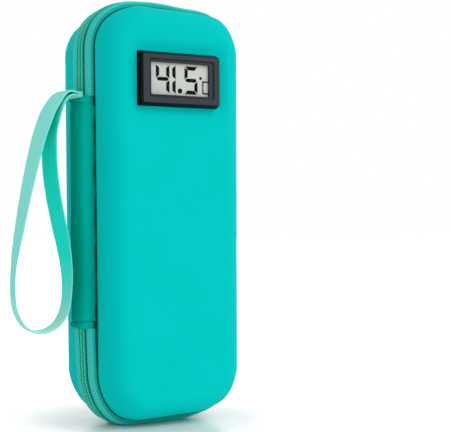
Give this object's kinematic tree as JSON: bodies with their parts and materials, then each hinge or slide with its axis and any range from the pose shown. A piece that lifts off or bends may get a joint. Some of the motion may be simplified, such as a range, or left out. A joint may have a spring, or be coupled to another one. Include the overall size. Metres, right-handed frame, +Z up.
{
  "type": "insulin cooling case",
  "caption": "Upright two-shell cooling case for insulin pens, with a zip band, a folding spine, gel ice packs inside, a wrist strap and a temperature display in the front shell.",
  "frame": {"origin": "under the middle of the case, on the surface that its zip band stands on", "axes": "+Z up along the case's length, -Y out of the front shell's display, +X to the right as seen from the front; the spine and strap are on -X"},
  "size_m": [0.1279, 0.0605, 0.2251],
  "materials": {
    "shell_fabric": "smooth stretch fabric laminated on moulded foam, low sheen",
    "spine_leather": "smooth synthetic leather, soft sheen",
    "tape_fabric": "woven zip tape, matt",
    "coil_plastic": "moulded coil, satin",
    "web_fabric": "ribbed woven webbing, matt",
    "foil_film": "aluminised film on foam, crinkled",
    "net_fabric": "knitted net",
    "elastic_fabric": "woven elastic and bias binding",
    "gel_film": "welded film over gel",
    "bezel_plastic": "moulded, fine texture",
    "housing_plastic": "moulded",
    "lens_plastic": "clear and polished",
    "lcd_glass": "grey reflective liquid crystal panel",
    "board_laminate": "green solder mask",
    "chip_epoxy": "moulded",
    "strip_rubber": "layered conductive rubber",
    "contact_steel": "plated",
    "slider_enamel": "enamelled die casting"
  },
  "bodies": {
    "back_half": {"back_shell": "shell_fabric", "back_liner": "foil_film", "back_zip_tape": "tape_fabric", "back_zip_coil": "coil_plastic", "back_edge_binding": "elastic_fabric", "back_pocket_net": "net_fabric", "back_pocket_hem": "elastic_fabric", "back_ice_pack": "gel_film", "lower_pen_band": "elastic_fabric", "upper_pen_band": "elastic_fabric"},
    "spine": {"spine_panel": "spine_leather", "spine_upper_fold": "spine_leather", "spine_lower_fold": "spine_leather", "spine_lining": "foil_film", "strap_tab": "web_fabric"},
    "strap": {"wrist_strap": "web_fabric"},
    "front_half": {"front_shell": "shell_fabric", "front_liner": "foil_film", "front_zip_tape": "tape_fabric", "front_zip_coil": "coil_plastic", "front_edge_binding": "elastic_fabric", "front_pocket_net": "net_fabric", "front_pocket_hem": "elastic_fabric", "front_ice_pack": "gel_film", "display_bezel": "bezel_plastic", "display_lens": "lens_plastic", "display_lcd": "lcd_glass", "contact_strip": "strip_rubber", "circuit_board": "board_laminate", "driver_chip": "chip_epoxy", "button_cell_1": "contact_steel", "button_cell_2": "contact_steel", "cell_contact": "contact_steel", "display_housing": "housing_plastic", "battery_cover": "housing_plastic", "sensor_cap": "contact_steel"},
    "upper_slider": {"upper_slider": "slider_enamel"},
    "lower_slider": {"lower_slider": "slider_enamel"},
    "upper_pull": {"upper_pull": "slider_enamel"},
    "lower_pull": {"lower_pull": "slider_enamel"}
  },
  "joints": [
    {"name": "spine_fold", "type": "hinge", "parent": "back_half", "child": "spine", "pos_m": [-0.0443, 0.0124, 0.112], "axis": [0, 0, -1], "range_deg": [0, 90]},
    {"name": "cover_fold", "type": "hinge", "parent": "spine", "child": "front_half", "pos_m": [-0.0443, -0.0124, 0.112], "axis": [0, 0, -1], "range_deg": [0, 90]},
    {"name": "upper_slider_run", "type": "slide", "parent": "back_half", "child": "upper_slider", "axis": [0, 0, 1], "range_m": [0, 0.045]},
    {"name": "lower_slider_run", "type": "slide", "parent": "back_half", "child": "lower_slider", "axis": [0, 0, -1], "range_m": [0, 0.1]},
    {"name": "upper_pull_lift", "type": "hinge", "parent": "upper_slider", "child": "upper_pull", "pos_m": [0.04565, 0, 0.14461], "axis": [0, 1, 0], "range_deg": [0, 120]},
    {"name": "lower_pull_lift", "type": "hinge", "parent": "lower_slider", "child": "lower_pull", "pos_m": [0.04565, 0, 0.13531], "axis": [0, -1, 0], "range_deg": [0, 120]},
    {"name": "strap_swing", "type": "hinge", "parent": "spine", "child": "strap", "pos_m": [-0.0467, 0.001, 0.176], "axis": [0, 1, 0], "range_deg": [0, 90]}
  ],
  "couplings": [
    {"joint": "cover_fold", "follows": "spine_fold", "ratio": 1}
  ]
}
